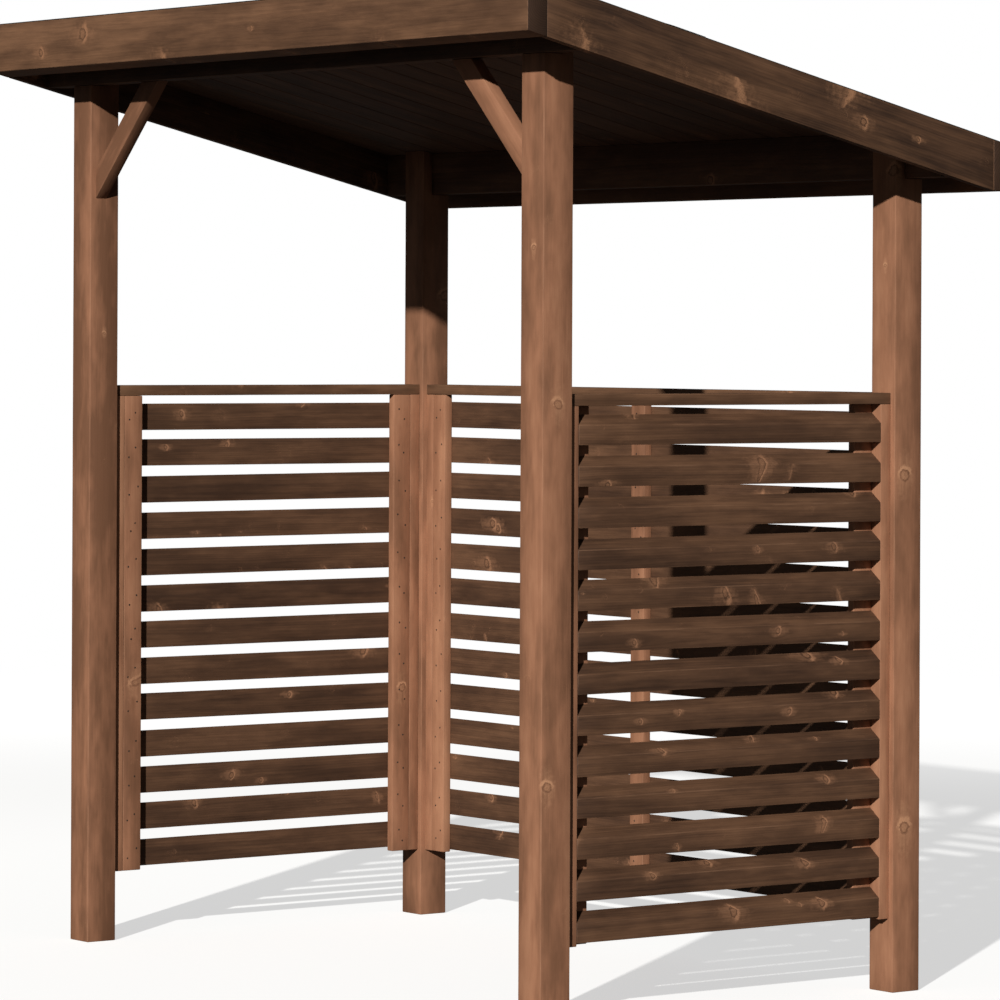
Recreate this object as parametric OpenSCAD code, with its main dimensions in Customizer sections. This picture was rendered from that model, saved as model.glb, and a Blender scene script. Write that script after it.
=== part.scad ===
// Bin shelter: an open timber frame with a single-pitch roof and louvred
// panels on the left, right and back. The front is open.
// +X runs along the front, -Y is the open front, +Z is up.
// The origin is on the ground, under the middle of the roof.

/* [Posts] */
// Side of the square posts
post_w = 70; // [65:1:90]
// Distance between the left and right posts, centre to centre
span_x = 1586; // [1100:1:2400]
// Distance between the front and back posts, centre to centre
span_y = 872; // [650:1:1100]

/* [Roof] */
// Height of the underside of the front beam above the ground
beam_z = 1820; // [1700:1:1870]
// Thickness of the front and back beams
beam_t = 45; // [28:1:50]
// Clear height that the back beam leaves above the ground
back_beam_z = 1606; // [1560:1:1630]
// Pitch of the roof, falling to the back
roof_pitch = 13.15; // [12:0.05:14.5]
// Height of the lower front edge of the front fascia above the ground
fascia_z = 1850; // [1845:1:1880]
// Width of the fascia boards, measured square to the roof
fascia_h = 98; // [95:1:120]
// Thickness of the front and back fascias
fascia_t = 45; // [20:1:50]
// Thickness of the side fascias
side_fascia_t = 20; // [16:1:28]
// How far the roof stands out in front of the front posts
front_overhang = 133; // [90:1:200]
// How far the roof stands out behind the back posts
back_overhang = 122; // [90:1:200]
// How far the roof stands out past the posts on each side
side_overhang = 124; // [80:1:200]
// Thickness of the roof boards
deck_t = 12; // [10:1:14]
// Thickness of the roofing felt
felt_t = 2; // [2:1:3]

/* [Knee braces] */
// How far a brace reaches down its post and along the beam
brace_leg = 241; // [180:1:300]
// Width of the brace on its face
brace_w = 45; // [38:1:60]
// Thickness of the brace
brace_t = 28; // [20:1:33]
// How far the brace's face sits behind the post's front face
brace_recess = 12; // [5:1:12]

/* [Panels] */
// Height of the top of the panels above the ground
panel_top = 1182.5; // [1170:0.5:1250]
// Depth of the panels' end uprights and top rail
panel_t = 47; // [45:1:51]
// How far the panels sit behind the posts' outer faces
panel_recess = 12; // [12:0.5:18.5]
// Width of the end uprights, seen from outside
stile_w = 25; // [20:1:30]
// Height of the top rail
rail_h = 22.5; // [20:0.5:28]
// Height of the lower ends of the uprights and battens above the ground
panel_foot = 145; // [120:1:146]
// Width of the battens nailed over the ends of the slats
batten_w = 45; // [38:1:50]
// Width of the batten in the middle of the back panel
middle_batten_w = 45; // [38:1:60]

/* [Slats] */
// Number of slats in each panel
slat_count = 13; // [8:1:13]
// Height of the lowest slat's outer bottom edge above the ground
slat_z = 151; // [148:1:152]
// Distance from one slat to the next
slat_pitch = 77.9; // [70:0.1:77.9]
// Depth of a slat, outside to inside
slat_d = 27; // [25:1:29]
// Height of a slat's outer face, up to the bevel
slat_face = 38; // [34:1:40]
// Rise of a slat's bevelled top from outside to inside
slat_rise = 20; // [12:1:21]

/* [Hidden] */

// middle of the post grid, so that the origin is under the middle of the roof
y_mid = (front_overhang - back_overhang) / 2;
half_x = span_x / 2;
half_y = span_y / 2;
hp = post_w / 2;

// outer faces of the posts
x_out = half_x + hp;
y_front = y_mid - half_y - hp;
y_back = y_mid + half_y + hp;

// outline of the roof
roof_x = x_out + side_overhang;
roof_y0 = y_front - front_overhang;
roof_y1 = y_back + back_overhang;
fall = tan(roof_pitch);
fascia_v = fascia_h / cos(roof_pitch);
deck_v = deck_t / cos(roof_pitch);
felt_v = felt_t / cos(roof_pitch);
deck_low = fascia_v - deck_v;

// clear lengths between the posts
clear_x = span_x - post_w;
clear_y = span_y - post_w;
rail_z = panel_top - rail_h;
batten_t = panel_t - slat_d;

wood_light = [0.60, 0.42, 0.31];
wood_mid = [0.50, 0.34, 0.25];
wood_dark = [0.36, 0.25, 0.19];

// height of the fascias' lower edge, and of the roof boards' underside, at y
function edge_z(y) = fascia_z - fall * (y - roof_y0);
function under_z(y) = edge_z(y) + deck_low;

// a prism along X whose section is given by y and z
module bar_x(x0, x1, pts) {
    translate([x0, 0, 0]) rotate([90, 0, 90]) linear_extrude(height = x1 - x0) polygon(pts);
}

// a sloping layer between y0 and y1 whose underside is h above the fascias' lower edge
module sloped(x0, x1, y0, y1, h, v) {
    bar_x(x0, x1, [[y0, edge_z(y0) + h], [y1, edge_z(y1) + h],
                   [y1, edge_z(y1) + h + v], [y0, edge_z(y0) + h + v]]);
}

// a post with a seat for the beam cut into its outer side (side = -1 front, 1 back)
module post(x, y, side, seat_z) {
    ya = y - hp;
    yb = y + hp;
    ys = side < 0 ? ya + beam_t : yb - beam_t;
    color(wood_light)
    if (side < 0)
        bar_x(x - hp, x + hp, [[ya, 0], [yb, 0], [yb, under_z(yb)], [ys, under_z(ys)],
                               [ys, seat_z], [ya, seat_z]]);
    else
        bar_x(x - hp, x + hp, [[ya, 0], [yb, 0], [yb, seat_z], [ys, seat_z],
                               [ys, under_z(ys)], [ya, under_z(ya)]]);
}

module front_left_post() post(-half_x, y_mid - half_y, -1, beam_z);
module front_right_post() post(half_x, y_mid - half_y, -1, beam_z);
module back_left_post() post(-half_x, y_mid + half_y, 1, back_beam_z);
module back_right_post() post(half_x, y_mid + half_y, 1, back_beam_z);

// beams run through to the side fascias, their tops planed to the roof's pitch
module beam(y0, y1, z0) {
    color(wood_dark)
    bar_x(-(roof_x - side_fascia_t), roof_x - side_fascia_t,
          [[y0, z0], [y1, z0], [y1, under_z(y1)], [y0, under_z(y0)]]);
}
module front_beam() beam(y_front, y_front + beam_t, beam_z);
module back_beam() beam(y_back - beam_t, y_back, back_beam_z);

// brace from a front post up to the beam, cut plumb below and level above
module knee_brace() {
    c = brace_w * sqrt(2);
    color(wood_light)
    translate([0, y_front + brace_recess + brace_t, beam_z]) rotate([90, 0, 0])
    linear_extrude(height = brace_t)
    polygon([[0, -brace_leg], [brace_leg, 0], [brace_leg - c, 0], [0, -brace_leg + c]]);
}
module left_knee_brace() translate([-(half_x - hp), 0, 0]) knee_brace();
module right_knee_brace() translate([half_x - hp, 0, 0]) mirror([1, 0, 0]) knee_brace();

module front_fascia() {
    color(wood_mid) sloped(-roof_x, roof_x, roof_y0, roof_y0 + fascia_t, 0, fascia_v);
}
module back_fascia() {
    // its lower edge is level, at the height where the side fascias end
    y0 = roof_y1 - fascia_t;
    color(wood_mid)
    bar_x(-roof_x, roof_x, [[y0, edge_z(y0)], [roof_y1, edge_z(y0)],
                            [roof_y1, edge_z(roof_y1) + fascia_v], [y0, edge_z(y0) + fascia_v]]);
}
module side_fascia(x0) {
    color(wood_dark)
    sloped(x0, x0 + side_fascia_t, roof_y0 + fascia_t, roof_y1 - fascia_t, 0, fascia_v);
}
module left_fascia() side_fascia(-roof_x);
module right_fascia() side_fascia(roof_x - side_fascia_t);

module roof_boards() {
    color(wood_dark)
    sloped(-(roof_x - side_fascia_t), roof_x - side_fascia_t,
           roof_y0 + fascia_t, roof_y1 - fascia_t, deck_low, deck_v);
}
module roof_felt() {
    color([0.16, 0.17, 0.17])
    sloped(-roof_x, roof_x, roof_y0, roof_y1, fascia_v, felt_v);
}

// A panel is drawn lying along X from 0 to len, with its outer face at y = 0
// and its inner face at y = panel_t.
module p_upright(x0) {
    color(wood_mid) translate([x0, 0, panel_foot]) cube([stile_w, panel_t, rail_z - panel_foot]);
}
module p_batten(x0, w) {
    color(wood_light) translate([x0, slat_d, panel_foot]) cube([w, batten_t, rail_z - panel_foot]);
}
module p_rail(len) {
    color(wood_dark) translate([0, 0, rail_z]) cube([len, panel_t, rail_h]);
}
module p_slats(len) {
    color(wood_dark)
    for (i = [0 : slat_count - 1]) {
        z = slat_z + i * slat_pitch;
        bar_x(stile_w, len - stile_w, [[0, z], [slat_d, z],
                                       [slat_d, z + slat_face + slat_rise], [0, z + slat_face]]);
    }
}

// places a panel: right side faces +X, left side faces -X, back faces +Y
module on_right() translate([x_out - panel_recess, y_front + post_w, 0]) rotate([0, 0, 90]) children();
module on_left() translate([-(x_out - panel_recess), y_back - post_w, 0]) rotate([0, 0, -90]) children();
module on_back() translate([half_x - hp, y_back - panel_recess, 0]) rotate([0, 0, 180]) children();

module left_panel_back_upright() on_left() p_upright(0);
module left_panel_front_upright() on_left() p_upright(clear_y - stile_w);
module left_panel_back_batten() on_left() p_batten(stile_w, batten_w);
module left_panel_front_batten() on_left() p_batten(clear_y - stile_w - batten_w, batten_w);
module left_panel_top_rail() on_left() p_rail(clear_y);
module left_panel_slats() on_left() p_slats(clear_y);

module right_panel_front_upright() on_right() p_upright(0);
module right_panel_back_upright() on_right() p_upright(clear_y - stile_w);
module right_panel_front_batten() on_right() p_batten(stile_w, batten_w);
module right_panel_back_batten() on_right() p_batten(clear_y - stile_w - batten_w, batten_w);
module right_panel_top_rail() on_right() p_rail(clear_y);
module right_panel_slats() on_right() p_slats(clear_y);

module back_panel_right_upright() on_back() p_upright(0);
module back_panel_left_upright() on_back() p_upright(clear_x - stile_w);
module back_panel_right_batten() on_back() p_batten(stile_w, batten_w);
module back_panel_left_batten() on_back() p_batten(clear_x - stile_w - batten_w, batten_w);
module back_panel_middle_batten() on_back() p_batten((clear_x - middle_batten_w) / 2, middle_batten_w);
module back_panel_top_rail() on_back() p_rail(clear_x);
module back_panel_slats() on_back() p_slats(clear_x);

front_left_post();
front_right_post();
back_left_post();
back_right_post();
front_beam();
back_beam();
left_knee_brace();
right_knee_brace();
front_fascia();
back_fascia();
left_fascia();
right_fascia();
roof_boards();
roof_felt();
left_panel_front_upright();
left_panel_back_upright();
left_panel_front_batten();
left_panel_back_batten();
left_panel_top_rail();
left_panel_slats();
right_panel_front_upright();
right_panel_back_upright();
right_panel_front_batten();
right_panel_back_batten();
right_panel_top_rail();
right_panel_slats();
back_panel_left_upright();
back_panel_right_upright();
back_panel_left_batten();
back_panel_right_batten();
back_panel_middle_batten();
back_panel_top_rail();
back_panel_slats();
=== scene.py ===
import math
import random

import bmesh
import bpy
from mathutils import Matrix, Vector, noise


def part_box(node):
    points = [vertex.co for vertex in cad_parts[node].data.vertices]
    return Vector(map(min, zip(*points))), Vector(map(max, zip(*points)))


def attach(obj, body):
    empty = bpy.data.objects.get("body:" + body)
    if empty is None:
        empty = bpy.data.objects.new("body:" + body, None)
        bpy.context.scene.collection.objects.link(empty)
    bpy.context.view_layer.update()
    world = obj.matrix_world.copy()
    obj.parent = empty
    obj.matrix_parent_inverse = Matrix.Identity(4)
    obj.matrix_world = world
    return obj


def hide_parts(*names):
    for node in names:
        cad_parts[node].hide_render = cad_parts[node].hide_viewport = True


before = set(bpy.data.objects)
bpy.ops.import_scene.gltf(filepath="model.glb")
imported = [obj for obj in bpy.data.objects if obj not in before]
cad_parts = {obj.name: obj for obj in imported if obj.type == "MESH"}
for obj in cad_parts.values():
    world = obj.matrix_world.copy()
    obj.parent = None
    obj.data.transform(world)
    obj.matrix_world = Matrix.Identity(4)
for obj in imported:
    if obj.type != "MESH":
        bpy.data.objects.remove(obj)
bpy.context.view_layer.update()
RNG = random.Random(20)

# ---------------------------------------------------------------- node helpers


class Nodes:
    """Small helper that builds shader nodes and links them."""

    def __init__(self, name):
        self.mat = bpy.data.materials.new(name)
        self.mat.use_nodes = True
        self.t = self.mat.node_tree
        self.t.nodes.clear()
        self.out = self.t.nodes.new("ShaderNodeOutputMaterial")

    def new(self, kind, **props):
        n = self.t.nodes.new(kind)
        for k, v in props.items():
            setattr(n, k, v)
        return n

    def put(self, socket, value):
        if isinstance(value, bpy.types.NodeSocket):
            self.t.links.new(value, socket)
        elif value is not None:
            socket.default_value = value

    def math(self, op, a, b=None, c=None, clamp=False):
        n = self.new("ShaderNodeMath", operation=op, use_clamp=clamp)
        self.put(n.inputs[0], a)
        self.put(n.inputs[1], b)
        self.put(n.inputs[2], c)
        return n.outputs[0]

    def vmath(self, op, a, b=None):
        n = self.new("ShaderNodeVectorMath", operation=op)
        self.put(n.inputs[0], a)
        self.put(n.inputs[1], b)
        return n.outputs["Value"] if op in ("LENGTH", "DOT_PRODUCT", "DISTANCE") else n.outputs[0]

    def split(self, v):
        n = self.new("ShaderNodeSeparateXYZ")
        self.put(n.inputs[0], v)
        return n.outputs[0], n.outputs[1], n.outputs[2]

    def join(self, x, y, z):
        n = self.new("ShaderNodeCombineXYZ")
        for s, v in zip(n.inputs, (x, y, z)):
            self.put(s, v)
        return n.outputs[0]

    def noise(self, v, scale, detail=2.0, rough=0.5, distortion=0.0):
        n = self.new("ShaderNodeTexNoise")
        n.inputs["Scale"].default_value = scale
        n.inputs["Detail"].default_value = detail
        n.inputs["Roughness"].default_value = rough
        n.inputs["Distortion"].default_value = distortion
        self.put(n.inputs["Vector"], v)
        return n.outputs["Fac"]

    def rand(self, v, w=None):
        n = self.new("ShaderNodeTexWhiteNoise", noise_dimensions="2D")
        self.put(n.inputs["Vector"], v)
        return n.outputs["Value"], n.outputs["Color"]

    def span(self, v, a, b, c=0.0, d=1.0, smooth=True):
        n = self.new("ShaderNodeMapRange")
        n.interpolation_type = "SMOOTHSTEP" if smooth else "LINEAR"
        n.clamp = True
        self.put(n.inputs[0], v)
        for i, x in enumerate((a, b, c, d)):
            self.put(n.inputs[i + 1], x)
        return n.outputs[0]

    def mix(self, f, a, b, blend="MIX"):
        n = self.new("ShaderNodeMix", data_type="RGBA", blend_type=blend)
        n.clamp_factor = True
        self.put(n.inputs["Factor"], f)
        for s, v in ((n.inputs[6], a), (n.inputs[7], b)):
            self.put(s, (*v, 1.0) if isinstance(v, tuple) and len(v) == 3 else v)
        return n.outputs[2]

    def attr(self, name):
        return self.new("ShaderNodeAttribute", attribute_type="GEOMETRY", attribute_name=name)


def srgb(*c):
    return tuple(((x / 255) / 12.92 if x <= 10.31 else (((x / 255) + 0.055) / 1.055) ** 2.4) for x in c)


def knots(m, P, seed, period, radius, salt, wob, wob2):
    """Branches that run out from the pith and widen on the way. Gives the distance over the radius and four masks:
    pale tail, pale crescent, dark rim and heart."""
    u, v, w = m.split(P)
    x = m.math("ADD", m.math("DIVIDE", u, period), m.math("MULTIPLY", seed, 37.0 + salt))
    cell = m.math("FLOOR", x)
    fr = m.math("SUBTRACT", x, cell)
    _, col = m.rand(m.join(cell, m.math("ADD", m.math("MULTIPLY", seed, 91.7), salt), 0.0))
    r1, r2, r3 = m.split(col)
    centre = m.span(r1, 0.0, 1.0, 0.22, 0.78, smooth=False)
    du = m.math("MULTIPLY", m.math("SUBTRACT", fr, centre), period)
    ang = m.math("MULTIPLY", r2, 2 * math.pi)
    ca, sa = m.math("COSINE", ang), m.math("SINE", ang)
    along = m.math("ADD", m.math("MULTIPLY", v, ca), m.math("MULTIPLY", w, sa))
    across = m.math("SUBTRACT", m.math("MULTIPLY", w, ca), m.math("MULTIPLY", v, sa))
    # a branch leans towards the crown of the tree
    du = m.math("SUBTRACT", du, m.math("MULTIPLY", along, 0.35))
    size = m.math("MULTIPLY", m.span(r3, 0.3, 1.0, 0.55, 1.25, smooth=False), radius)
    size = m.math("MULTIPLY", size, m.span(along, 0.0, 0.035, 0.45, 1.0, smooth=False))
    d = m.math("SQRT", m.math("ADD", m.math("MULTIPLY", du, du), m.math("MULTIPLY", across, across)))
    dl = m.math("MULTIPLY", du, 0.38)
    long_d = m.math("SQRT", m.math("ADD", m.math("MULTIPLY", dl, dl), m.math("MULTIPLY", across, across)))
    # none on the far side of the pith, and not one in every length
    away = m.math("ADD", m.math("LESS_THAN", along, 0.0), m.math("LESS_THAN", r3, 0.3))
    away = m.math("MULTIPLY", away, 40.0)
    kd = m.math("ADD", m.math("DIVIDE", d, size), away)
    kl = m.math("ADD", m.math("DIVIDE", long_d, size), away)
    kn = m.math("ADD", kd, m.math("ADD", m.math("MULTIPLY", wob, 1.0), m.math("MULTIPLY", wob2, 0.45)))
    kh = m.math("ADD", kl, m.math("MULTIPLY", wob, 2.2))
    tail = m.span(kh, 1.9, 0.7)
    ring = m.math("MULTIPLY", m.span(kn, 0.78, 1.02), m.span(kn, 1.75, 1.15))
    lead = m.math("ADD", m.math("DIVIDE", du, size), m.math("MULTIPLY", wob, 2.4))
    crescent = m.math("MULTIPLY", ring, m.span(lead, -0.35, 0.55, 0.12, 1.0))
    rim = m.math("MULTIPLY", m.span(kn, 0.50, 0.74), m.span(kn, 1.06, 0.84))
    heart = m.span(kn, 0.74, 0.50)
    return kd, tail, crescent, rim, heart


def wood(name, dark, mid, light, knot_col, knot_edge, arris_wear_highlight_col, end_col, knot_r=0.0085, rough=0.62, streak=1.0, fibre_k=1.0):
    m = Nodes(name)
    P = m.attr("grain").outputs["Vector"]
    seed = m.attr("seed").outputs["Fac"]
    tone = m.attr("tone").outputs["Fac"]
    endg = m.attr("endgrain").outputs["Fac"]
    edge = m.attr("arris").outputs["Fac"]
    u, v, w = m.split(P)

    wob = m.math("SUBTRACT", m.noise(P, 95.0, 3.0, 0.6), 0.5)
    wob2 = m.math("SUBTRACT", m.noise(P, 330.0, 2.0, 0.6), 0.5)
    sets = [knots(m, P, seed, 0.36, knot_r, 3.0, wob, wob2),
            knots(m, P, seed, 0.55, knot_r * 0.85, 17.0, wob, wob2),
            knots(m, P, seed, 0.41, knot_r * 0.45, 29.0, wob, wob2)]
    kd = m.math("MINIMUM", m.math("MINIMUM", sets[0][0], sets[1][0]), sets[2][0])
    tail, crescent, rim, heart = [m.math("MAXIMUM", m.math("MAXIMUM", sets[0][i], sets[1][i]), sets[2][i]) for i in (1, 2, 3, 4)]

    # growth rings about the pith, pushed aside near each knot
    stretch = m.join(m.math("MULTIPLY", u, 1.1), m.math("MULTIPLY", v, 9.0), m.math("MULTIPLY", w, 9.0))
    wander = m.math("SUBTRACT", m.noise(stretch, 1.0, 3.0, 0.55), 0.5)
    fine_wander = m.math("SUBTRACT", m.noise(m.join(m.math("MULTIPLY", u, 7.0), m.math("MULTIPLY", v, 40.0), m.math("MULTIPLY", w, 40.0)), 1.0, 2.0), 0.5)
    r = m.math("SQRT", m.math("ADD", m.math("MULTIPLY", v, v), m.math("MULTIPLY", w, w)))
    push = m.math("MULTIPLY", m.math("EXPONENT", m.math("MULTIPLY", kd, -0.55)), 0.011)
    r = m.math("ADD", r, m.math("MULTIPLY", wander, 0.030))
    r = m.math("ADD", r, m.math("MULTIPLY", fine_wander, 0.0022))
    r = m.math("SUBTRACT", r, push)
    rings = m.math("FRACT", m.math("MULTIPLY", r, 215.0))
    late = m.math("MULTIPLY", m.span(rings, 0.30, 0.86), m.span(rings, 1.0, 0.90))
    rings2 = m.math("FRACT", m.math("MULTIPLY", r, 62.0))
    band = m.math("MULTIPLY", m.span(rings2, 0.1, 0.75), m.span(rings2, 1.0, 0.80))

    # stain taken up unevenly, in long clouds, and fine fibres
    cloud = m.noise(m.join(m.math("MULTIPLY", u, 3.2), m.math("MULTIPLY", v, 17.0), m.math("MULTIPLY", w, 17.0)), 1.0, 4.0, 0.6)
    blotch = m.noise(m.join(m.math("MULTIPLY", u, 12.0), m.math("MULTIPLY", v, 30.0), m.math("MULTIPLY", w, 30.0)), 1.0, 3.0, 0.55)
    fibre = m.noise(m.join(m.math("MULTIPLY", u, 14.0), m.math("MULTIPLY", v, 520.0), m.math("MULTIPLY", w, 520.0)), 1.0, 3.0, 0.6)
    streaks = m.noise(m.join(m.math("MULTIPLY", u, 4.0), m.math("MULTIPLY", v, 150.0), m.math("MULTIPLY", w, 150.0)), 1.0, 3.0, 0.6)

    f = m.span(cloud, 0.34, 0.68)
    f = m.math("ADD", m.math("MULTIPLY", f, 0.46), m.math("MULTIPLY", m.span(streaks, 0.3, 0.7), 0.20 * streak))
    f = m.math("ADD", f, m.math("MULTIPLY", m.span(blotch, 0.3, 0.7), 0.20))
    f = m.math("ADD", f, m.math("MULTIPLY", tone, 0.30))
    f = m.math("SUBTRACT", f, m.math("MULTIPLY", late, 0.13 * streak))
    f = m.math("SUBTRACT", f, m.math("MULTIPLY", band, 0.12 * streak))
    ramp = m.new("ShaderNodeValToRGB")
    e = ramp.color_ramp.elements
    e[0].position, e[0].color = 0.02, (*dark, 1)
    e[1].position, e[1].color = 0.95, (*light, 1)
    mid_e = ramp.color_ramp.elements.new(0.46)
    mid_e.color = (*mid, 1)
    m.put(ramp.inputs[0], f)
    col = ramp.outputs[0]
    fib = m.span(fibre, 0.25, 0.75, 1.0 - 0.10 * fibre_k, 1.0 + 0.09 * fibre_k)
    fibn = m.new("ShaderNodeVectorMath", operation="SCALE")
    m.put(fibn.inputs[0], col)
    m.put(fibn.inputs["Scale"], fib)
    col = fibn.outputs[0]

    # knots: a pale tail along the grain, a pale crescent on one side, a dark rim and a warm heart
    tail = m.math("MULTIPLY", tail, m.span(streaks, 0.30, 0.62, 0.25, 1.0))
    col = m.mix(m.math("MULTIPLY", tail, 0.34), col, knot_col)
    col = m.mix(m.math("MULTIPLY", rim, m.span(wob2, -0.2, 0.15, 0.25, 0.70)), col, knot_edge)
    col = m.mix(m.math("MULTIPLY", crescent, 0.80), col, knot_col)
    heart_col = m.mix(m.span(wob2, -0.2, 0.25), tuple(0.45 * a + 0.55 * b for a, b in zip(knot_col, knot_edge)), tuple(0.82 * a + 0.18 * b for a, b in zip(knot_col, knot_edge)))
    col = m.mix(m.math("MULTIPLY", heart, 0.75), col, heart_col)

    # paler arrises, partly wear and partly a painted highlight along the bevels, and dark, thirsty end grain
    wear_highlight_noise = m.noise(m.join(m.math("MULTIPLY", u, 9.0), m.math("MULTIPLY", v, 60.0), m.math("MULTIPLY", w, 60.0)), 1.0, 3.0, 0.6)
    col = m.mix(m.math("MULTIPLY", edge, m.span(wear_highlight_noise, 0.42, 0.66, 0.05, 0.40)), col, arris_wear_highlight_col)
    end_f = m.math("MULTIPLY", endg, 0.88)
    end_c = m.mix(m.math("MULTIPLY", late, 0.7), end_col, tuple(0.45 * x for x in end_col))
    col = m.mix(end_f, col, end_c)

    bs = m.new("ShaderNodeBsdfPrincipled")
    m.put(bs.inputs["Base Color"], col)
    rr = m.math("ADD", m.math("MULTIPLY", m.span(fibre, 0.2, 0.8), 0.14), rough - 0.07)
    rr = m.math("SUBTRACT", rr, m.math("MULTIPLY", heart, 0.12))
    m.put(bs.inputs["Roughness"], rr)
    bs.inputs["Specular IOR Level"].default_value = 0.32
    height = m.math("MULTIPLY", fibre, 0.7)
    bump = m.new("ShaderNodeBump")
    bump.inputs["Strength"].default_value = 0.55
    bump.inputs["Distance"].default_value = 0.0009
    m.put(bump.inputs["Height"], height)
    m.put(bs.inputs["Normal"], bump.outputs[0])
    m.put(m.out.inputs["Surface"], bs.outputs[0])
    return m.mat


def metal(name, colour, rough):
    m = Nodes(name)
    tc = m.new("ShaderNodeTexCoord").outputs["Object"]
    n1 = m.noise(tc, 900.0, 3.0, 0.6)
    n2 = m.noise(tc, 60.0, 2.0)
    col = m.mix(m.span(n1, 0.35, 0.7), tuple(0.55 * c for c in colour), colour)
    col = m.mix(m.span(n2, 0.5, 0.75, 0.0, 0.45), col, srgb(58, 40, 30))
    bs = m.new("ShaderNodeBsdfPrincipled")
    m.put(bs.inputs["Base Color"], col)
    bs.inputs["Metallic"].default_value = 0.8
    m.put(bs.inputs["Roughness"], m.span(n1, 0.2, 0.8, rough - 0.08, rough + 0.12))
    m.put(m.out.inputs["Surface"], bs.outputs[0])
    return m.mat


def felt_material():
    m = Nodes("roof_felt_mineral")
    tc = m.new("ShaderNodeTexCoord").outputs["Object"]
    vor = m.new("ShaderNodeTexVoronoi")
    vor.inputs["Scale"].default_value = 620.0
    m.put(vor.inputs["Vector"], tc)
    g, _, _ = m.split(vor.outputs["Color"])
    patch = m.noise(tc, 3.0, 4.0, 0.6)
    runs = m.noise(m.vmath("MULTIPLY", tc, (26.0, 2.0, 2.0)), 1.0, 3.0, 0.6)
    col = m.mix(g, srgb(38, 40, 40), srgb(92, 94, 92))
    col = m.mix(m.span(patch, 0.42, 0.72, 0.0, 0.5), col, srgb(74, 72, 66))
    col = m.mix(m.span(runs, 0.52, 0.8, 0.0, 0.35), col, srgb(30, 31, 31))
    bs = m.new("ShaderNodeBsdfPrincipled")
    m.put(bs.inputs["Base Color"], col)
    m.put(bs.inputs["Roughness"], m.span(g, 0.0, 1.0, 0.82, 0.97))
    bs.inputs["Specular IOR Level"].default_value = 0.25
    bump = m.new("ShaderNodeBump")
    bump.inputs["Strength"].default_value = 0.7
    bump.inputs["Distance"].default_value = 0.0012
    m.put(bump.inputs["Height"], m.math("SUBTRACT", 1.0, m.math("MULTIPLY", vor.outputs["Distance"], 1.0)))
    m.put(bs.inputs["Normal"], bump.outputs[0])
    m.put(m.out.inputs["Surface"], bs.outputs[0])
    return m.mat


# the seventh colour of each wood is its paler arris colour: partly wear, partly a painted highlight on the bevels
LIGHT = wood("wood_light_stain", srgb(122, 84, 61), srgb(158, 110, 82), srgb(184, 133, 101),
             srgb(200, 148, 112), srgb(96, 62, 43), srgb(172, 126, 97), srgb(104, 72, 52), knot_r=0.012, streak=0.22, fibre_k=0.45)
MID = wood("wood_mid_stain", srgb(78, 54, 38), srgb(104, 74, 53), srgb(130, 94, 68),
           srgb(164, 118, 86), srgb(58, 39, 27), srgb(142, 104, 78), srgb(56, 39, 29), knot_r=0.015, streak=0.6, fibre_k=0.8)
DARK = wood("wood_dark_stain", srgb(66, 45, 32), srgb(90, 63, 45), srgb(116, 83, 60),
            srgb(174, 126, 94), srgb(52, 34, 24), srgb(134, 100, 76), srgb(50, 35, 26), knot_r=0.0105, streak=0.85, fibre_k=0.8)
SIDE = wood("wood_dark_stain_wide", srgb(58, 40, 29), srgb(88, 62, 44), srgb(114, 82, 59),
            srgb(176, 128, 94), srgb(44, 30, 21), srgb(118, 86, 64), srgb(46, 32, 24), knot_r=0.021, streak=0.9)
DECK = wood("wood_roof_boards", srgb(62, 43, 31), srgb(84, 59, 43), srgb(106, 77, 56),
            srgb(126, 88, 62), srgb(48, 31, 22), srgb(100, 73, 54), srgb(58, 40, 29))
NAIL = metal("nail_steel", (0.10, 0.078, 0.062), 0.55)
CLOUT = metal("clout_galvanised", (0.42, 0.43, 0.44), 0.45)
FELT = felt_material()

# ---------------------------------------------------------------- timbers


def solids_of(node):
    """The separate solids of a CAD node, each as a bmesh with flat faces joined up."""
    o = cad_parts[node]
    mw = o.matrix_world
    bm = bmesh.new()
    bm.from_mesh(o.data)
    bm.transform(mw)
    bmesh.ops.remove_doubles(bm, verts=bm.verts[:], dist=1e-5)
    bmesh.ops.dissolve_limit(bm, angle_limit=math.radians(0.5), verts=bm.verts[:], edges=bm.edges[:])
    bm.verts.ensure_lookup_table()
    seen, groups = set(), []
    for v in bm.verts:
        if v.index in seen:
            continue
        stack, grp = [v], []
        seen.add(v.index)
        while stack:
            a = stack.pop()
            grp.append(a.index)
            for e in a.link_edges:
                b = e.other_vert(a)
                if b.index not in seen:
                    seen.add(b.index)
                    stack.append(b)
        groups.append(set(grp))
    parts = []
    for g in groups:
        nb = bmesh.new()
        idx = {}
        for i in sorted(g):
            idx[i] = nb.verts.new(bm.verts[i].co)
        for f in bm.faces:
            if f.verts[0].index in g:
                nb.faces.new([idx[x.index] for x in f.verts])
        nb.normal_update()
        parts.append(nb)
    bm.free()
    parts.sort(key=lambda b: tuple(round(sum(v.co[k] for v in b.verts) / len(b.verts), 3) for k in (2, 0, 1)))
    return parts


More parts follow.
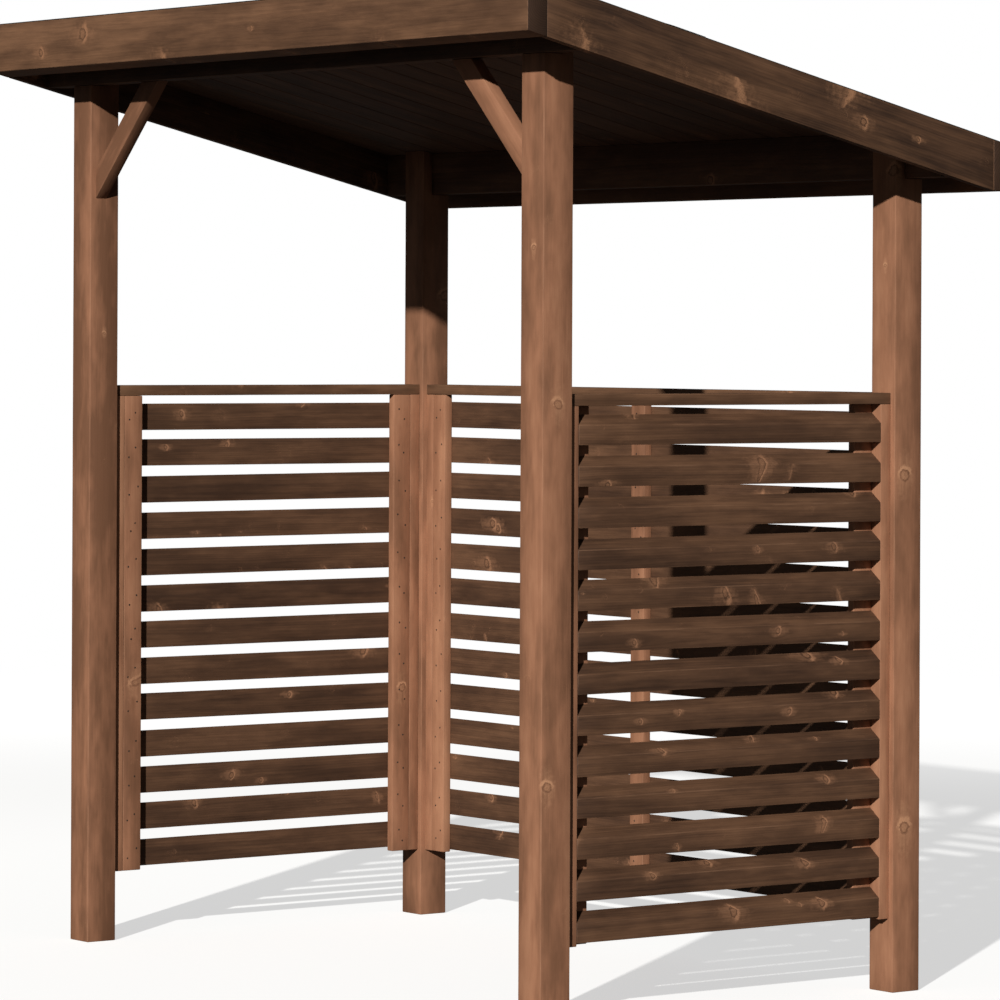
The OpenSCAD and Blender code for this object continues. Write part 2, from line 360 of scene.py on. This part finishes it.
class Piece:
    """Gathers finished timbers into one mesh with the attributes that the wood material reads."""

    def __init__(self, name):
        self.name = name
        self.v, self.f = [], []
        self.grain, self.seed, self.tone = [], [], []
        self.endg, self.arris = [], []

    def add(self, bm, axis, grain_off, seed, tone, centre, side):
        base = len(self.v)
        bm.verts.ensure_lookup_table()
        bm.verts.index_update()
        a = axis
        b = side
        c = a.cross(b)
        for vtx in bm.verts:
            d = vtx.co - centre
            self.v.append(tuple(vtx.co))
            self.grain.append((d.dot(a) + grain_off[0], d.dot(b) + grain_off[1], d.dot(c) + grain_off[2]))
            self.seed.append(seed)
            self.tone.append(tone)
        tag = bm.faces.layers.int.get("arris")
        for f in bm.faces:
            self.f.append([base + x.index for x in f.verts])
            self.endg.append(1.0 if abs(f.normal.dot(a)) > 0.68 else 0.0)
            self.arris.append(float(f[tag]) if tag else 0.0)

    def build(self, mat, nodes=()):
        me = bpy.data.meshes.new(self.name)
        me.from_pydata(self.v, [], self.f)
        me.materials.append(mat)
        for nm, dom, typ, data in (("seed", "POINT", "FLOAT", self.seed), ("tone", "POINT", "FLOAT", self.tone),
                                   ("endgrain", "FACE", "FLOAT", self.endg), ("arris", "FACE", "FLOAT", self.arris)):
            at = me.attributes.new(nm, typ, dom)
            at.data.foreach_set("value", data)
        at = me.attributes.new("grain", "FLOAT_VECTOR", "POINT")
        at.data.foreach_set("vector", [x for g in self.grain for x in g])
        me.validate()
        ob = bpy.data.objects.new(self.name, me)
        bpy.context.scene.collection.objects.link(ob)
        for p in me.polygons:
            p.use_smooth = True
        me.set_sharp_from_angle(angle=math.radians(38))
        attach(ob, "root")
        if nodes:
            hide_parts(*nodes)
        return ob


def dress(bm, axis, arris=0.0018, step=0.045, wave=0.00035, seed=0.0, segments=2, gap=0.0):
    """Arrises, cross cuts along the grain and the slight unevenness of a planed board."""
    lay = bm.faces.layers.int.new("arris")
    bm.normal_update()
    edges = [e for e in bm.edges if len(e.link_faces) == 2 and e.calc_face_angle(0) > math.radians(12)]
    res = bmesh.ops.bevel(bm, geom=edges, offset=arris, offset_type="OFFSET", segments=segments, profile=0.5,
                          affect="EDGES", clamp_overlap=True)
    for f in res["faces"]:
        f[lay] = 1
    lo = min(v.co.dot(axis) for v in bm.verts)
    hi = max(v.co.dot(axis) for v in bm.verts)
    n = max(1, int((hi - lo) / step))
    for i in range(1, n):
        d = lo + (hi - lo) * i / n
        bmesh.ops.bisect_plane(bm, geom=bm.verts[:] + bm.edges[:] + bm.faces[:], plane_co=axis * d, plane_no=axis)
    bm.normal_update()
    off = Vector((seed * 13.1, seed * 7.7, seed * 3.3))
    for v in bm.verts:
        q = v.co
        s = q.dot(axis)
        k = 0.5 + 0.5 * noise.noise(Vector((s * 5.0, q.x * 9 + q.y * 9, q.z * 9)) + off)
        k2 = 0.5 + 0.5 * noise.noise(Vector((s * 23.0, q.x * 30, q.y * 30 + q.z * 30)) + off * 2)
        nn = v.normal
        nn = nn - axis * nn.dot(axis)
        if nn.length > 0.3:
            v.co = q - nn.normalized() * (wave * (k + 0.5 * k2))
    bm.normal_update()


def side_of(axis):
    s = Vector((0, 0, 1)) if abs(axis.z) < 0.9 else Vector((1, 0, 0))
    return (s - axis * s.dot(axis)).normalized()


def timber(node, axis, mat, arris=0.0018, step=0.05, wave=0.00035, jitter=None, pith=(0.03, 0.09), tones=(0.0, 1.0), name=None, segments=2):
    axis = Vector(axis).normalized()
    pc = Piece(name or node + "_timber")
    for i, bm in enumerate(solids_of(node)):
        seed = RNG.random() * 9.0
        lo = [min(v.co[k] for v in bm.verts) for k in range(3)]
        hi = [max(v.co[k] for v in bm.verts) for k in range(3)]
        centre = Vector([(a + b) / 2 for a, b in zip(lo, hi)])
        if jitter:
            jitter(bm, centre, i)
        dress(bm, axis, arris, step, wave, seed, segments=segments)
        ang = RNG.random() * 2 * math.pi
        rad = RNG.uniform(*pith)
        off = (RNG.uniform(-5, 5), rad * math.cos(ang), rad * math.sin(ang))
        pc.add(bm, axis, off, seed, RNG.uniform(*tones), centre, side_of(axis))
        bm.free()
    return pc.build(mat, (node,))


X, Y, Z = (1, 0, 0), (0, 1, 0), (0, 0, 1)

# roof slope, read from the felt
roof_lo, roof_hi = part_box("roof_felt")
felt_bm = solids_of("roof_felt")[0]
front_z = [v.co.z for v in felt_bm.verts if v.co.y < 0]
back_z = [v.co.z for v in felt_bm.verts if v.co.y > 0]
felt_bm.free()
fall = (max(front_z) - max(back_z)) / (roof_hi[1] - roof_lo[1])
felt_v = max(front_z) - min(front_z)
slope = Vector((0, 1, -fall)).normalized()
up_roof = Vector((0, fall, 1)).normalized()
SLOPE = tuple(slope)

for n, tn in (("front_left_post", -0.50), ("front_right_post", 0.15), ("back_left_post", -0.30), ("back_right_post", 0.25)):
    timber(n, Z, LIGHT, arris=0.0022, wave=0.0003, pith=(0.004, 0.022), segments=2, tones=(tn, tn))
timber("front_beam", X, DARK, arris=0.002)
timber("back_beam", X, DARK, arris=0.002)
timber("left_knee_brace", (1, 0, 1), LIGHT, arris=0.0018, step=0.03, tones=(-0.9, -0.8))
timber("right_knee_brace", (-1, 0, 1), LIGHT, arris=0.0018, step=0.03)
timber("front_fascia", X, MID, arris=0.0025, pith=(0.015, 0.04))
timber("back_fascia", X, MID, arris=0.0025)
timber("left_fascia", SLOPE, SIDE, arris=0.0018, pith=(0.002, 0.014), tones=(0.0, 0.3))
timber("right_fascia", SLOPE, SIDE, arris=0.0018, pith=(0.002, 0.014), tones=(0.0, 0.3))


def slat_jitter(along):
    def f(bm, centre, i):
        tilt = RNG.uniform(-0.0010, 0.0010)
        lift = RNG.uniform(-0.0008, 0.0008)
        length = max(v.co[along] for v in bm.verts) - min(v.co[along] for v in bm.verts)
        for v in bm.verts:
            v.co.z += lift + tilt * (v.co[along] - centre[along]) / length * 2
    return f


for side in ("left", "right", "back"):
    along = X if side == "back" else Y
    k = 0 if side == "back" else 1
    timber(f"{side}_panel_slats", along, DARK, arris=0.0014, step=0.06, jitter=slat_jitter(k), pith=(0.006, 0.034), tones=(0.0, 0.75))
    timber(f"{side}_panel_top_rail", along, MID, arris=0.0016, tones=(0.35, 0.55))
    ends = ("left", "right") if side == "back" else ("front", "back")
    for e in ends:
        timber(f"{side}_panel_{e}_upright", Z, LIGHT, arris=0.0015)
        bt = (0.95, 1.0) if (side, e) == ("back", "left") else (0.1, 0.6)
        timber(f"{side}_panel_{e}_batten", Z, LIGHT, arris=0.0018, tones=bt)
timber("back_panel_middle_batten", Z, LIGHT, arris=0.0018)

# ---------------------------------------------------------------- roof boards


def roof_boards():
    src = solids_of("roof_boards")[0]
    lo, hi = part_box("roof_boards")
    width = 0.1036
    n = round((hi[0] - lo[0]) / width)
    step = (hi[0] - lo[0]) / n
    pc = Piece("roof_boards_timber")
    for i in range(n):
        bm = src.copy()
        x0, x1 = lo[0] + i * step + 0.0005, lo[0] + (i + 1) * step - 0.0005
        for v in bm.verts:
            v.co.x = x0 if v.co.x < 0 else x1
        centre = Vector(((x0 + x1) / 2, 0, (lo[2] + hi[2]) / 2))
        seed = RNG.random() * 9
        dress(bm, slope, 0.0030, 0.09, 0.0004, seed, segments=1)
        ang = RNG.random() * 2 * math.pi
        rad = RNG.uniform(0.03, 0.09)
        pc.add(bm, slope, (RNG.uniform(-5, 5), rad * math.cos(ang), rad * math.sin(ang)), seed, RNG.random(), centre, Vector(X))
        bm.free()
    src.free()
    return pc.build(DECK, ("roof_boards",))


roof_boards()

# ---------------------------------------------------------------- roof felt


def z_roof(y):
    """Height of the felt's underside at y."""
    return roof_hi[2] - (y - roof_lo[1]) * fall - (felt_v)


def felt_sheet(name, y0, y1, h0, thick, lift=None, nx=76, ny=24, replaces=()):
    """A sheet over the whole width from y0 to y1; h0(y) is the height of its underside above the boards."""
    x0, x1 = roof_lo[0], roof_hi[0]
    vs, fs = [], []
    for layer in (0, 1):
        for j in range(ny + 1):
            for i in range(nx + 1):
                x = x0 + (x1 - x0) * i / nx
                y = y0 + (y1 - y0) * j / ny
                if j == ny and lift:
                    y += 0.0016 * noise.noise(Vector((x * 6, 3.0, 0.0)))
                ripple = 0.00022 * (noise.noise(Vector((x * 5, y * 7, 1.0))) - 1.0) if layer else 0.0
                z = z_roof(y) + h0(y) + (thick if layer else 0.0) + ripple
                vs.append((x, y, z))
    def vid(l, i, j):
        return l * (nx + 1) * (ny + 1) + j * (nx + 1) + i
    for j in range(ny):
        for i in range(nx):
            fs.append((vid(1, i, j), vid(1, i + 1, j), vid(1, i + 1, j + 1), vid(1, i, j + 1)))
            fs.append((vid(0, i, j + 1), vid(0, i + 1, j + 1), vid(0, i + 1, j), vid(0, i, j)))
    for i in range(nx):
        fs.append((vid(0, i, 0), vid(0, i + 1, 0), vid(1, i + 1, 0), vid(1, i, 0)))
        fs.append((vid(1, i, ny), vid(1, i + 1, ny), vid(0, i + 1, ny), vid(0, i, ny)))
    for j in range(ny):
        fs.append((vid(1, 0, j), vid(1, 0, j + 1), vid(0, 0, j + 1), vid(0, 0, j)))
        fs.append((vid(0, nx, j), vid(0, nx, j + 1), vid(1, nx, j + 1), vid(1, nx, j)))
    me = bpy.data.meshes.new(name)
    me.from_pydata(vs, [], fs)
    me.materials.append(FELT)
    ob = bpy.data.objects.new(name, me)
    bpy.context.scene.collection.objects.link(ob)
    for p in me.polygons:
        p.use_smooth = True
    me.set_sharp_from_angle(angle=math.radians(40))
    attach(ob, "root")
    if replaces:
        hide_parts(*replaces)
    return ob


lap = roof_lo[1] + 0.42
half_t = felt_v / 2
felt_sheet("roof_felt_lower", lap - 0.075, roof_hi[1], lambda y: 0.0, half_t * 0.98, ny=30, replaces=("roof_felt",))


def upper_h(y):
    t = (y - (lap - 0.075 - 0.03)) / 0.03
    t = min(1.0, max(0.0, t))
    return half_t * 0.98 * (t * t * (3 - 2 * t))


felt_sheet("roof_felt_upper", roof_lo[1], lap, upper_h, half_t * 0.98, lift=True, ny=34)

# ---------------------------------------------------------------- nails


def heads(name, spots, radius, rise, mat, sides=10):
    """Nail heads: a low dome each, at (point, outward normal)."""
    vs, fs = [], []
    for p, nrm in spots:
        nrm = Vector(nrm).normalized()
        a = nrm.orthogonal().normalized()
        b = nrm.cross(a)
        p = Vector(p)
        base = len(vs)
        rings = ((1.0, -0.0012), (1.0, rise * 0.45), (0.72, rise * 0.86))
        for rr, hh in rings:
            for i in range(sides):
                t = 2 * math.pi * i / sides
                vs.append(tuple(p + (a * math.cos(t) + b * math.sin(t)) * radius * rr + nrm * hh))
        vs.append(tuple(p + nrm * rise))
        vs.append(tuple(p - nrm * 0.0012))
        top, bot = len(vs) - 2, len(vs) - 1
        for r_ in range(2):
            for i in range(sides):
                j = (i + 1) % sides
                fs.append((base + r_ * sides + i, base + r_ * sides + j, base + (r_ + 1) * sides + j, base + (r_ + 1) * sides + i))
        for i in range(sides):
            j = (i + 1) % sides
            fs.append((base + 2 * sides + i, base + 2 * sides + j, top))
            fs.append((base + j, base + i, bot))
    me = bpy.data.meshes.new(name)
    me.from_pydata(vs, [], fs)
    me.materials.append(mat)
    ob = bpy.data.objects.new(name, me)
    bpy.context.scene.collection.objects.link(ob)
    for p in me.polygons:
        p.use_smooth = True
    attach(ob, "root")
    return ob


def slat_heights():
    out = []
    for bm in solids_of("back_panel_slats"):
        zs = [v.co.z for v in bm.verts]
        out.append((min(zs) + max(zs)) / 2)
        bm.free()
    return out


SLAT_Z = slat_heights()
INWARD = {"left": Vector(X), "right": -Vector(X), "back": -Vector(Y)}


def batten_nails(side, node, flip):
    lo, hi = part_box(node)
    nrm = INWARD[side]
    spots = []
    for z in SLAT_Z:
        for s in (-1, 1):
            dz = s * 0.010 + RNG.uniform(-0.0045, 0.0045)
            dt = flip * s * 0.008 + RNG.uniform(-0.004, 0.004)
            if side == "back":
                p = ((lo[0] + hi[0]) / 2 + dt, lo[1] + 0.0004, z + dz)
            elif side == "left":
                p = (hi[0] - 0.0004, (lo[1] + hi[1]) / 2 + dt, z + dz)
            else:
                p = (lo[0] + 0.0004, (lo[1] + hi[1]) / 2 + dt, z + dz)
            spots.append((p, nrm))
    return spots


for side in ("left", "right", "back"):
    ends = ("left", "middle", "right") if side == "back" else ("front", "back")
    spots = []
    for q, e in enumerate(ends):
        spots += batten_nails(side, f"{side}_panel_{e}_batten", 1 if q % 2 == 0 else -1)
    ob = heads(f"{side}_panel_nails", spots, 0.0021, 0.0004, NAIL)


def clouts():
    spots = []
    x0, x1 = roof_lo[0] + 0.016, roof_hi[0] - 0.016
    y0, y1 = roof_lo[1] + 0.016, roof_hi[1] - 0.016
    def top(x, y, extra=0.0):
        return (x, y, z_roof(y) + half_t * 0.98 + extra)
    n = 19
    for i in range(n):
        x = x0 + (x1 - x0) * i / (n - 1)
        spots.append((top(x, y0), up_roof))
        spots.append((top(x, y1), up_roof))
        if 0 < i < n - 1:
            spots.append((top(x + RNG.uniform(-0.006, 0.006), lap - 0.016, half_t * 0.98), up_roof))
    n = 11
    for i in range(1, n):
        y = y0 + (y1 - y0) * i / n
        ex = half_t * 0.98 if lap - 0.075 < y < lap else 0.0
        spots.append((top(x0, y, ex), up_roof))
        spots.append((top(x1, y, ex), up_roof))
    return heads("roof_clout_nails", spots, 0.0042, 0.0004, CLOUT, sides=12)


clouts()

# ---------------------------------------------------------------- stage


def floor_material():
    m = Nodes("stage_floor")
    tc = m.new("ShaderNodeTexCoord").outputs["Object"]
    d = m.vmath("LENGTH", tc)
    near = m.span(d, 2.2, 9.0, 1.0, 0.0)
    lp = m.new("ShaderNodeLightPath")
    seen = lp.outputs["Is Camera Ray"]
    dif = m.new("ShaderNodeBsdfDiffuse")
    m.put(dif.inputs["Color"], m.mix(seen, (0.15, 0.145, 0.14), (0.70, 0.70, 0.69)))
    em = m.new("ShaderNodeEmission")
    em.inputs["Color"].default_value = (1.0, 1.0, 1.0, 1.0)
    m.put(em.inputs["Strength"], m.math("MULTIPLY", seen, m.span(near, 0.0, 1.0, 1.0, 0.60)))
    black = m.new("ShaderNodeBsdfDiffuse")
    black.inputs["Color"].default_value = (0, 0, 0, 1)
    fade = m.new("ShaderNodeMixShader")
    m.put(fade.inputs[0], near)
    m.put(fade.inputs[1], black.outputs[0])
    m.put(fade.inputs[2], dif.outputs[0])
    add = m.new("ShaderNodeAddShader")
    m.put(add.inputs[0], fade.outputs[0])
    m.put(add.inputs[1], em.outputs[0])
    m.put(m.out.inputs["Surface"], add.outputs[0])
    return m.mat


me = bpy.data.meshes.new("stage_floor")
S = 120.0
me.from_pydata([(-S, -S, 0), (S, -S, 0), (S, S, 0), (-S, S, 0)], [], [(0, 1, 2, 3)])
me.materials.append(floor_material())
floor = bpy.data.objects.new("stage_floor", me)
bpy.context.scene.collection.objects.link(floor)

world = bpy.data.worlds.new("studio")
bpy.context.scene.world = world
world.use_nodes = True
wt = world.node_tree
wt.nodes.clear()
wo = wt.nodes.new("ShaderNodeOutputWorld")
bg_seen = wt.nodes.new("ShaderNodeBackground")
bg_seen.inputs[0].default_value = (1, 1, 1, 1)
bg_seen.inputs[1].default_value = 1.0
bg_fill = wt.nodes.new("ShaderNodeBackground")
bg_fill.inputs[0].default_value = (1.0, 0.99, 0.97, 1)
bg_fill.inputs[1].default_value = 0.085
lp = wt.nodes.new("ShaderNodeLightPath")
mx = wt.nodes.new("ShaderNodeMixShader")
wt.links.new(lp.outputs["Is Camera Ray"], mx.inputs[0])
wt.links.new(bg_fill.outputs[0], mx.inputs[1])
wt.links.new(bg_seen.outputs[0], mx.inputs[2])
wt.links.new(mx.outputs[0], wo.inputs[0])

sun_az, sun_el = math.radians(36.7), math.radians(21.9)
ld = bpy.data.lights.new("key_sun", "SUN")
ld.energy = 3.9
ld.angle = math.radians(0.9)
ld.color = (1.0, 0.985, 0.96)
key = bpy.data.objects.new("key_sun", ld)
bpy.context.scene.collection.objects.link(key)
light_dir = Vector((-math.sin(sun_az) * math.cos(sun_el), math.cos(sun_az) * math.cos(sun_el), -math.sin(sun_el)))
key.rotation_euler = light_dir.to_track_quat("-Z", "Y").to_euler()

cam = bpy.data.cameras.new("camera")
cam.lens = 176.35
cam.sensor_width = 36.0
cam.sensor_fit = "HORIZONTAL"
cam.shift_x = 0.0
cam.shift_y = -0.1635
cam.clip_end = 400
cobj = bpy.data.objects.new("camera", cam)
bpy.context.scene.collection.objects.link(cobj)
yaw, roll = 0.9283, 0.00434
fw = Vector((-math.sin(yaw), math.cos(yaw), 0))
rt = Vector((math.cos(yaw), math.sin(yaw), 0))
upv = Vector((0, 0, 1))
r3 = rt * math.cos(roll) + upv * math.sin(roll)
u3 = upv * math.cos(roll) - rt * math.sin(roll)
mat = Matrix((r3, u3, -fw)).transposed().to_4x4()
mat.translation = Vector((8.08704, -5.99871, 1.28996))
cobj.matrix_world = mat
bpy.context.scene.camera = cobj
bpy.context.scene.view_settings.view_transform = "Standard"
bpy.context.scene.view_settings.look = "None"
